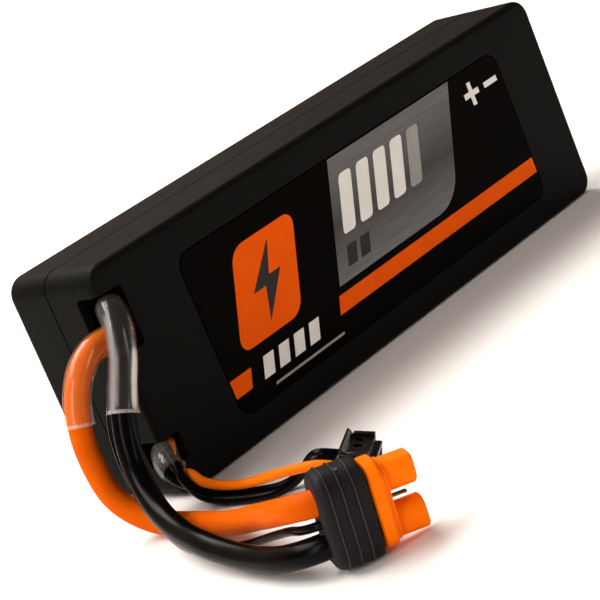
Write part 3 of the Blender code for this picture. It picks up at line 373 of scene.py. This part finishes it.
# Shrunk polyolefin tubing: clear and glossy. Over the orange lead its haze is tinted orange by
# choice, as a painted glow, to look as bright as the photograph does there; one side carries a
# faint painted highlight.
SMOOTH_TUBING = clear_film(
    "clear_shrunk_polyolefin", "#FF9233", haze_and_painted_glow=(0.08, 0.18),
    painted_highlights=(((-0.98, 0.1, 0.1), 16.0, 0.03),),
    rough=0.14, wrinkle_mm=0.7, wrinkle_height_mm=0.008)
# The same tubing over the black lead, with long milky painted highlights where it faces given ways.
TUBING_WITH_PAINTED_HIGHLIGHTS = clear_film(
    "shrunk_polyolefin_painted_highlights", "#F3EAE2", haze_and_painted_glow=(0.0, 0.02),
    painted_highlights=(((0.14, -0.97, -0.16), 17.0, 0.55), ((-0.89, -0.2, 0.42), 18.0, 0.14),
             ((-0.73, -0.61, 0.31), 4.0, 0.35)),
    rough=0.16, wrinkle_mm=0.5, wrinkle_height_mm=0.014)
# The same tubing over the thin wires: a little hazier.
HAZY_TUBING = clear_film(
    "hazy_shrunk_polyolefin", "#EDE9E8", haze_and_painted_glow=(0.0, 0.07), painted_highlights=(),
    rough=0.16, wrinkle_mm=0.5, wrinkle_height_mm=0.014)
# The cut end of the same tubing, where the film is seen edge on: brighter and milkier.
TUBING_EDGE = clear_film(
    "clear_tubing_cut_edge", "#F7EFE9", haze_and_painted_glow=(0.09, 0.22), painted_highlights=(),
    rough=0.2, wrinkle_mm=0.8, wrinkle_height_mm=0.02)
# Moulded nylon: saturated orange with a faint tool texture, softly glossy on its edges.
ORANGE_NYLON = varied(
    "moulded_orange_nylon", "#FA6E01", "#FE7402", patch_mm=3.0, rough=(0.4, 0.5), grain_mm=0.3,
    grain_height_mm=0.006, values={"IOR": 1.53, "Specular IOR Level": 0.04})
# Moulded thermoplastic rubber: charcoal with a fine matt grain.
BOOT_RUBBER = varied(
    "moulded_black_rubber", "#141213", "#191718", patch_mm=3.0, rough=(0.5, 0.62), grain_mm=0.25,
    grain_height_mm=0.012, values={"IOR": 1.5, "Specular IOR Level": 0.1})
# The same rubber on the ribs' crests and the gate mark, painted a lighter grey as highlights.
BOOT_PAINTED_HIGHLIGHT = varied(
    "rubber_painted_highlight", "#302E2E", "#3A3838", patch_mm=2.0, rough=(0.4, 0.5), grain_mm=0.25,
    grain_height_mm=0.006, values={"IOR": 1.5, "Specular IOR Level": 0.2})
# Moulded black nylon: small, hard and shiny.
PLUG_NYLON = varied(
    "moulded_black_nylon", "#060404", "#0A0707", patch_mm=3.0, rough=(0.24, 0.34), grain_mm=0.3,
    grain_height_mm=0.004, values={"IOR": 1.53, "Specular IOR Level": 0.3})
# Gold-plated brass: warm yellow metal with soft highlights.
PLATED_BRASS = varied(
    "gold_plated_brass", "#A98A45", "#BC9B55", patch_mm=2.0, rough=(0.26, 0.38), grain_mm=0.3,
    grain_height_mm=0.003, values={"Metallic": 1.0})
# Darker brass: the flat data contact is drawn darker and browner than the sockets.
DARK_BRASS = varied(
    "darker_brown_brass", "#57481F", "#6A5828", patch_mm=1.0, rough=(0.3, 0.42), grain_mm=0.3,
    grain_height_mm=0.003, values={"Metallic": 1.0})
# Laminated pouch foil: silvery, with shallow dents a few millimetres wide.
POUCH_FOIL = varied(
    "laminated_pouch_foil", "#A9ADB2", "#BFC3C8", patch_mm=8.0, rough=(0.3, 0.42), grain_mm=3.0,
    grain_height_mm=0.05, values={"Metallic": 0.9})
# Closed-cell foam: dull dark grey with small pores.
CELL_FOAM = varied(
    "closed_cell_foam", "#3E4044", "#4C4E53", patch_mm=1.0, rough=(0.85, 0.95), grain_mm=0.4,
    grain_height_mm=0.08, values={"IOR": 1.5})
# Pressed insulating card: matt straw colour with a fibrous grain.
FISH_PAPER = varied(
    "insulating_card", "#CFC49C", "#DCD2AE", patch_mm=2.0, rough=(0.7, 0.85), grain_mm=0.4,
    grain_height_mm=0.02, values={"IOR": 1.5})
# Rolled nickel strip: warm grey metal with faint streaks.
NICKEL_STRIP = varied(
    "nickel_strip", "#B7B2A6", "#C8C4B9", patch_mm=1.5, rough=(0.28, 0.4), grain_mm=0.4,
    grain_height_mm=0.003, values={"Metallic": 1.0}, stretch=(1.0, 1.0, 0.1))
# Rolled aluminium strip: the same in a paler, cooler grey.
ALUMINIUM_STRIP = varied(
    "aluminium_strip", "#C5C8CC", "#D6D9DC", patch_mm=1.5, rough=(0.28, 0.4), grain_mm=0.4,
    grain_height_mm=0.003, values={"Metallic": 1.0}, stretch=(1.0, 1.0, 0.1))
# Black solder mask, a dark satin lacquer, as painted shade: the board seen through the windows
# stays as dark as the shade in them.
BOARD_MASK = varied(
    "board_mask_painted_shade", "#0B0C0B", "#121412", patch_mm=2.0, rough=(0.35, 0.5), grain_mm=0.4,
    grain_height_mm=0.01, values={"IOR": 1.5})
# Moulded chip resin: dull and dark.
CHIP_RESIN = varied(
    "moulded_chip_resin", "#171718", "#202022", patch_mm=1.0, rough=(0.5, 0.6), grain_mm=0.2,
    grain_height_mm=0.01, values={"IOR": 1.5})


def add_piece(name, data, finish):
    """Put a finished piece in the scene, riding on the pack, with its material."""
    made = bpy.data.objects.new(name, data)
    bpy.context.scene.collection.objects.link(made)
    data.materials.append(finish)
    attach(made, "root")
    return made


def add_mesh_piece(name, bm, finish, sharp_above):
    """Turn a bmesh into a finished piece."""
    mesh = bpy.data.meshes.new(name)
    bm.to_mesh(mesh)
    bm.free()
    mesh.shade_smooth()
    mesh.set_sharp_from_angle(angle=math.radians(sharp_above))
    return add_piece(name, mesh, finish)


def moulded_copy(node, name, finish, edge_mm):
    """A welded copy of a solid, with its sharp edges softened as moulding leaves them."""
    bm = bmesh.new()
    bm.from_mesh(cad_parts[node].data)
    bmesh.ops.remove_doubles(bm, verts=bm.verts, dist=WELD)
    bmesh.ops.dissolve_limit(bm, angle_limit=FLAT_ANGLE, verts=bm.verts, edges=bm.edges)
    # Flat faces with holes are split again here, so that no face lies across a hole
    bmesh.ops.triangulate(bm, faces=[f for f in bm.faces if len(f.verts) > 4])
    made = add_mesh_piece(name, bm, finish, NEVER_SHARP)
    soften = made.modifiers.new("soft_edges", "BEVEL")
    soften.width = edge_mm * MM
    soften.segments = 2
    soften.limit_method = "ANGLE"
    soften.angle_limit = SHARP_ANGLE
    soften.miter_outer = "MITER_ARC"
    soften.use_clamp_overlap = True
    weigh = made.modifiers.new("flat_faces", "WEIGHTED_NORMAL")
    weigh.weight = 100
    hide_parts(node)
    return made


def finish_node(node, finish):
    """Give a solid that stays as it is its own material."""
    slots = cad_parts[node].data.materials
    slots.clear()
    slots.append(finish)


def metres(route):
    """A route's points as vectors in metres."""
    return [Vector(point) * MM for point in route]


def line_length(line):
    """The length of a polyline."""
    return sum((b - a).length for a, b in zip(line, line[1:]))


def point_at(line, distance):
    """The point that lies a distance along a polyline."""
    for a, b in zip(line, line[1:]):
        step = (b - a).length
        if distance <= step:
            return a.lerp(b, distance / step)
        distance -= step
    return line[-1]


def smooth_line(points, step_mm):
    """Evenly spaced points on a Catmull-Rom curve through a route."""
    ends = [2 * points[0] - points[1], *points, 2 * points[-1] - points[-2]]
    fine = []
    for a, b, c, d in zip(ends, ends[1:], ends[2:], ends[3:]):
        for k in range(CURVE_PARTS):
            t = k / CURVE_PARTS
            fine.append(0.5 * (2 * b + (c - a) * t + (2 * a - 5 * b + 4 * c - d) * t ** 2
                               + (3 * b - a - 3 * c + d) * t ** 3))
    fine.append(points[-1])
    length = line_length(fine)
    count = round(length / (step_mm * MM))
    return [point_at(fine, length * k / count) for k in range(count + 1)]


def beside(axis, turns, across, above):
    """A route that keeps its place beside another one, across and above it, and turns about it."""
    moved = []
    for k, point in enumerate(axis):
        ahead = axis[min(k + 1, len(axis) - 1)] - axis[max(k - 1, 0)]
        side = ahead.cross(Vector((0.0, 0.0, 1.0))).normalized()
        turn = Quaternion(ahead, math.radians(turns[k]))
        moved.append(point + turn @ (side * across + side.cross(ahead).normalized() * above))
    return moved


def tube(name, line, radius, capped, radii=None):
    """Curve data for a round tube along a polyline, with its radius varied where asked."""
    curve = bpy.data.curves.new(name, "CURVE")
    curve.dimensions = "3D"
    curve.bevel_depth = radius
    curve.bevel_resolution = TUBE_RESOLUTION
    curve.use_fill_caps = capped
    spline = curve.splines.new("POLY")
    spline.points.add(len(line) - 1)
    for k, point in enumerate(line):
        spline.points[k].co = (*point, 1.0)
        spline.points[k].radius = radii[k] if radii else 1.0
    spline.use_smooth = True
    return curve


def mesh_of(curve):
    """The welded mesh of a tube of curve data, with its faces pointing out."""
    holder = bpy.data.objects.new(curve.name, curve)
    bpy.context.scene.collection.objects.link(holder)
    shaped = holder.evaluated_get(bpy.context.evaluated_depsgraph_get())
    bm = bmesh.new()
    bm.from_mesh(shaped.to_mesh())
    bpy.data.objects.remove(holder)
    bmesh.ops.remove_doubles(bm, verts=bm.verts, dist=WELD)
    bmesh.ops.recalc_face_normals(bm, faces=bm.faces)
    return bm


def lay_cord(node, route, diameter, finish, step_mm):
    """A lead or wire along its route, in place of its solid; returns the piece and its line."""
    line = smooth_line(route, step_mm)
    made = add_piece(node + "_laid", tube(node, line, diameter / 2, True), finish)
    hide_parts(node)
    return made, line


def shrink_sleeve(node, line, span, bore, flare, finish):
    """Clear tubing shrunk on a lead: it waves a little in diameter and flares at its free end."""
    start, end = span
    count = round((end - start) / (SLEEVE_STEP * MM))
    points = [point_at(line, start + (end - start) * k / count) for k in range(count + 1)]
    radii = []
    for k in range(count + 1):
        along = k / count
        wave = sum(size * math.sin(turns * along * math.pi + begin)
                   for size, turns, begin in SLEEVE_WAVES)
        opening = flare * max(0.0, (along - FLARE_START) / FLARE_LENGTH) ** 2
        radii.append(1.0 + wave + opening)
    bm = mesh_of(tube(node, points, bore / 2, False, radii))
    bmesh.ops.solidify(bm, geom=bm.faces[:], thickness=SLEEVE_WALL)
    made = add_mesh_piece(node + "_shrunk", bm, finish, SLEEVE_ANGLE)
    made.data.materials.append(TUBING_EDGE)
    ahead = (points[-1] - points[-2]).normalized()
    for face in made.data.polygons:
        at_end = (face.center - points[-1]).dot(ahead) > -CUT_EDGE * MM
        face.material_index = 1 if flare and at_end else 0
    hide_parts(node)
    return made


def build_cords():
    """The two leads, the data wire and the three balance wires, with their clear sleeves."""
    made = {}
    for node, route, diameter, finish, slot, step in (
        ("positive_lead", POSITIVE_ROUTE, LEAD_DIAMETER, ORANGE_SILICONE, "orange_silicone",
         LEAD_STEP),
        ("negative_lead", NEGATIVE_ROUTE, LEAD_DIAMETER, BLACK_SILICONE, "black_silicone",
         LEAD_STEP),
        ("data_wire", DATA_ROUTE, DATA_WIRE_DIAMETER, BLACK_SILICONE, "black_silicone",
         DATA_WIRE_STEP),
    ):
        made[node] = lay_cord(node, metres(route), diameter, finish, step)
    # The three thin wires lie in a triangle about their common line
    spread = (BALANCE_WIRE_DIAMETER + BALANCE_WIRE_GAP) / math.sqrt(3.0)
    wide, low = spread * math.cos(math.pi / 6), -spread / 2
    knots = metres(BALANCE_AXIS)
    axis = smooth_line(knots, BALANCE_AXIS_STEP)
    for node, across, above, route, finish, slot in (
        ("balance_wire_positive", 0.0, spread, BALANCE_POSITIVE_ROUTE, PALE_ORANGE_SILICONE,
         "orange_silicone"),
        ("balance_wire_middle", wide, low, BALANCE_MIDDLE_ROUTE, BLACK_SILICONE,
         "black_silicone"),
        ("balance_wire_negative", -wide, low, BALANCE_NEGATIVE_ROUTE, BLACK_SILICONE,
         "black_silicone"),
    ):
        whole = beside(knots, BALANCE_TURNS, across, above) + metres(route)
        made[node] = lay_cord(node, whole, BALANCE_WIRE_DIAMETER, finish, BALANCE_WIRE_STEP)
    bore = LEAD_DIAMETER + 2 * FIT + SLEEVE_WALL
    balance_bore = 2 * spread + BALANCE_WIRE_DIAMETER + 2 * FIT + SLEEVE_WALL
    sleeves = {
        "positive_lead": shrink_sleeve("positive_sleeve", made["positive_lead"][1],
                                       POSITIVE_SLEEVE, bore, POSITIVE_FLARE, SMOOTH_TUBING),
        "negative_lead": shrink_sleeve("negative_sleeve", made["negative_lead"][1],
                                       NEGATIVE_SLEEVE, bore + FIT, NEGATIVE_FLARE, TUBING_WITH_PAINTED_HIGHLIGHTS),
        "balance_wire_positive": shrink_sleeve("balance_sleeve", axis, BALANCE_SLEEVE,
                                               balance_bore, BALANCE_FLARE, HAZY_TUBING),
    }
    return made, sleeves


def build_case():
    """Both halves of the moulded case."""
    moulded_copy("front_shell", "front_half", CASE_ABS, edge_mm=0.12)
    moulded_copy("rear_shell", "rear_half", CASE_ABS, edge_mm=0.12)


def print_shape(name, corners, layer, finish, rounding):
    """A flat printed shape from its corners on the label, with some of them rounded."""
    bm = bmesh.new()
    face_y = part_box("label")[0][1]
    verts = [bm.verts.new((x * MM, face_y, z * MM)) for x, z in corners]
    face = bm.faces.new(verts)
    face.normal_update()
    if face.normal.y > 0:
        face.normal_flip()
    for index, radius in rounding.items():
        bmesh.ops.bevel(bm, geom=[verts[index]], offset=radius * MM, offset_type="OFFSET",
                        segments=6, profile=0.5, affect="VERTICES", material=-1)
    raised = bmesh.ops.extrude_face_region(bm, geom=bm.faces[:])["geom"]
    lifted = [v for v in raised if isinstance(v, bmesh.types.BMVert)]
    bmesh.ops.translate(bm, vec=(0.0, -INK * layer, 0.0), verts=lifted)
    bmesh.ops.recalc_face_normals(bm, faces=bm.faces)
    return add_mesh_piece(name, bm, finish, SHAPE_ANGLE)


def slanted(x, z, width, height):
    """Corners of an upright bar that leans with the label's slant, from its lower left corner."""
    lean = LABEL_SLANT * height
    return [(x, z), (x + width, z), (x + width + lean, z + height), (x + lean, z + height)]


def print_row(name, place, step, size, finishes, rounding):
    """A row of slanted bars from the lower left corner of the first, one for each finish."""
    x, z = place
    for k, finish in enumerate(finishes):
        print_shape("%s_%d" % (name, k + 1), slanted(x + step * k, z, *size), UPPER_LAYER, finish,
                    rounding)


def build_label():
    """The laminated label and its print: a brushed panel, an orange stripe and plain signs."""
    finish_node("label", LABEL_VINYL)
    print_shape("silver_panel", PANEL_CORNERS, LOWER_LAYER, LABEL_SILVER, PANEL_ROUNDING)
    print_shape("stripe", STRIPE_CORNERS, LOWER_LAYER, ORANGE_INK, {})
    print_shape("corner_tab", TAB_CORNERS, LOWER_LAYER, ORANGE_INK, {})
    print_shape("badge", slanted(*BADGE_PLACE, *BADGE_SIZE), LOWER_LAYER, ORANGE_INK,
                BADGE_ROUNDING)
    print_shape("badge_bolt", BOLT_CORNERS, UPPER_LAYER, BLACK_INK, {})
    print_row("gauge_bar", GAUGE_PLACE, GAUGE_STEP, GAUGE_SIZE,
              (WHITE_INK, WHITE_INK, WHITE_INK, WHITE_INK, GREY_INK), GAUGE_ROUNDING)
    print_row("cell_sign", CELL_SIGN_PLACE, CELL_SIGN_STEP, CELL_SIGN_SIZE, (BLACK_INK, BLACK_INK),
              {})
    print_shape("plus", PLUS_CORNERS, UPPER_LAYER, WHITE_INK, {})
    print_shape("minus", MINUS_CORNERS, UPPER_LAYER, WHITE_INK, {})
    print_row("slash", SLASH_PLACE, SLASH_STEP, SLASH_SIZE,
              (WHITE_INK, WHITE_INK, WHITE_INK, WHITE_INK), {})
    print_shape("rule", RULE_CORNERS, UPPER_LAYER, GREY_INK, {})


def rounded(bm, edges, radius_mm, segments):
    """Round some edges of a bmesh."""
    bmesh.ops.bevel(bm, geom=edges, offset=radius_mm * MM, offset_type="OFFSET",
                    segments=segments, profile=0.5, affect="EDGES", material=-1)


def edges_at(bm, x):
    """The edges of a bmesh that lie in a plane across its X axis."""
    return [edge for edge in bm.edges if all(abs(v.co.x - x) < WELD for v in edge.verts)]


def build_boot():
    """The rubber boot: a domed block with three fine ribs and a gate mark."""
    rear, front = -BOOT_LENGTH * MM, -FIT
    bm = bmesh.new()
    bmesh.ops.create_cube(bm, size=1.0)
    bmesh.ops.scale(bm, vec=(front - rear, BOOT_WIDTH * MM, BOOT_HEIGHT * MM), verts=bm.verts)
    bmesh.ops.translate(bm, vec=((front + rear) / 2, 0.0, 0.0), verts=bm.verts)
    lengthwise = [e for e in bm.edges if abs(e.verts[0].co.x - e.verts[1].co.x) > WELD]
    rounded(bm, lengthwise, BOOT_CORNER, segments=8)
    rounded(bm, edges_at(bm, rear), BOOT_REAR_EDGE, segments=6)
    rounded(bm, edges_at(bm, front), BOOT_FRONT_EDGE, segments=3)
    for from_front in BOOT_RIBS:
        middle = -from_front * MM
        for cut in BOOT_RIB_CUTS:
            bmesh.ops.bisect_plane(bm, geom=[*bm.verts, *bm.edges, *bm.faces],
                                   plane_no=(1.0, 0.0, 0.0),
                                   plane_co=(middle + cut * BOOT_RIB_WIDTH * MM, 0.0, 0.0))
        crest = [v for v in bm.verts
                 if abs(v.co.x - middle) < BOOT_RIB_CREST * BOOT_RIB_WIDTH * MM]
        bmesh.ops.scale(bm, vec=(1.0, 1.0 + 2.0 * BOOT_RIB_HEIGHT / BOOT_WIDTH,
                                 1.0 + 2.0 * BOOT_RIB_HEIGHT / BOOT_HEIGHT), verts=crest)
        # Crest faces take the lighter grey of painted highlights
        for face in bm.faces:
            if all(v in crest for v in face.verts):
                face.material_index = 1
    facing = Vector(GATE_MARK_FACING).to_track_quat("Z", "Y").to_matrix().to_4x4()
    mark = bmesh.ops.create_cone(
        bm, cap_ends=True, segments=20, radius1=GATE_MARK_FOOT * MM, radius2=GATE_MARK_TOP * MM,
        depth=GATE_MARK_DEPTH * MM,
        matrix=Matrix.Translation(Vector(GATE_MARK_PLACE) * MM) @ facing)
    # The gate mark takes the same painted highlight
    for vert in mark["verts"]:
        for face in vert.link_faces:
            face.material_index = 1
    turn = Euler((0.0, CONNECTOR_PITCH, CONNECTOR_YAW)).to_matrix().to_4x4()
    bmesh.ops.transform(bm, matrix=Matrix.Translation(Vector(CONNECTOR_PLACE) * MM) @ turn,
                        verts=bm.verts)
    boot = add_mesh_piece("ribbed_boot", bm, BOOT_RUBBER, BOOT_ANGLE)
    boot.data.materials.append(BOOT_PAINTED_HIGHLIGHT)
    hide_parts("connector_boot")
    return boot


def build_connector():
    """The two-barrel connector with its ribbed boot and sockets; returns what each lead carries."""
    body = moulded_copy("connector_body", "two_barrel_housing", ORANGE_NYLON,
                        edge_mm=0.16)
    boot = build_boot()
    sockets = [moulded_copy(node, node + "_turned", finish, edge_mm=0.08)
               for node, finish in (("positive_contact", PLATED_BRASS),
                                    ("negative_contact", PLATED_BRASS),
                                    ("data_contact", DARK_BRASS))]
    return {"positive_lead": [body, boot, sockets[0]], "negative_lead": [sockets[1]],
            "data_wire": [sockets[2]]}


def build_plug():
    """The three-way balance plug and its crimps; returns what each thin wire carries."""
    housing = moulded_copy("balance_plug", "three_way_housing", PLUG_NYLON,
                           edge_mm=0.12)
    crimps = [moulded_copy(node, node + "_crimp", NICKEL_STRIP, edge_mm=0.1)
              for node in ("balance_contact_positive", "balance_contact_middle",
                           "balance_contact_negative")]
    return {"balance_wire_positive": [housing, crimps[0]], "balance_wire_middle": [crimps[1]],
            "balance_wire_negative": [crimps[2]]}


def finish_inside():
    """Materials for the pieces inside the case."""
    for finish, nodes in (
        (POUCH_FOIL, ("cell_front", "cell_rear")),
        (CELL_FOAM, ("cell_pad", "front_pad", "rear_pad", "end_cushion")),
        (FISH_PAPER, ("tab_insulator",)),
        (NICKEL_STRIP, ("negative_tab_front", "negative_tab_rear", "series_link",
                        "positive_terminal", "negative_terminal")),
        (ALUMINIUM_STRIP, ("positive_tab_front", "positive_tab_rear")),
        (BOARD_MASK, ("board",)),
        (CHIP_RESIN, ("controller_chip", "board_part_1", "board_part_2", "board_part_3")),
    ):
        for node in nodes:
            finish_node(node, finish)


def build_floor():
    """A plain pale floor."""
    bm = bmesh.new()
    bmesh.ops.create_grid(bm, x_segments=1, y_segments=1, size=FLOOR_REACH)
    mesh = bpy.data.meshes.new("floor")
    bm.to_mesh(mesh)
    bm.free()
    floor = bpy.data.objects.new("floor", mesh)
    bpy.context.scene.collection.objects.link(floor)
    # Matt white paper: pale and even, with a trace of warmth.
    mesh.materials.append(varied(
        "white_paper", "#F4F1EE", "#F7F5F2", patch_mm=60.0, rough=(0.85, 0.95), grain_mm=1.0,
        grain_height_mm=0.01, values={"Specular IOR Level": 0.1}))


def build_lights():
    """A large soft light above and behind, a strip at the left, a weak one in front, and a room.

    The room is bright behind the pack and dim in front of it.
    """
    for name, place, size, power, colour in LIGHTS:
        data = bpy.data.lights.new(name, "AREA")
        data.shape = "RECTANGLE"
        data.size, data.size_y = size
        data.energy = power
        data.color = linear(colour)[:3]
        light = bpy.data.objects.new(name, data)
        light.location = place
        light.rotation_euler = (-Vector(place)).to_track_quat("-Z", "Y").to_euler()
        bpy.context.scene.collection.objects.link(light)
    world = bpy.data.worlds.new("studio")
    world.use_nodes = True
    tree = world.node_tree
    heading = add_node(tree, "ShaderNodeTexCoord", {}, {}).outputs["Generated"]
    depth = add_node(tree, "ShaderNodeSeparateXYZ", {}, {"Vector": heading}).outputs["Y"]
    glow = add_node(tree, "ShaderNodeMapRange", {},
                    {"Value": depth, "From Min": ROOM_TURN[0], "From Max": ROOM_TURN[1],
                     "To Min": ROOM_FRONT, "To Max": ROOM_BACK})
    tree.links.new(glow.outputs["Result"], tree.nodes["Background"].inputs["Strength"])
    tree.nodes["Background"].inputs["Color"].default_value = linear(ROOM_TINT)
    bpy.context.scene.world = world
    bpy.context.scene.view_settings.view_transform = "Standard"


def build_camera():
    """The camera at the photograph's viewing angle."""
    data = bpy.data.cameras.new("camera")
    data.lens = CAMERA_LENS
    data.sensor_width = CAMERA_SENSOR
    data.clip_start = CAMERA_CLIP
    camera = bpy.data.objects.new("camera", data)
    place, target = Vector(CAMERA_PLACE) * MM, Vector(CAMERA_TARGET) * MM
    aim = (target - place).to_track_quat("-Z", "Y")
    camera.location = place
    camera.rotation_mode = "QUATERNION"
    camera.rotation_quaternion = aim @ Quaternion((0.0, 0.0, 1.0), CAMERA_ROLL)
    bpy.context.scene.collection.objects.link(camera)
    bpy.context.scene.camera = camera


cords, sleeves = build_cords()
build_case()
build_label()
cord_ends = {**build_connector(), **build_plug()}
finish_inside()
build_floor()
build_lights()
build_camera()
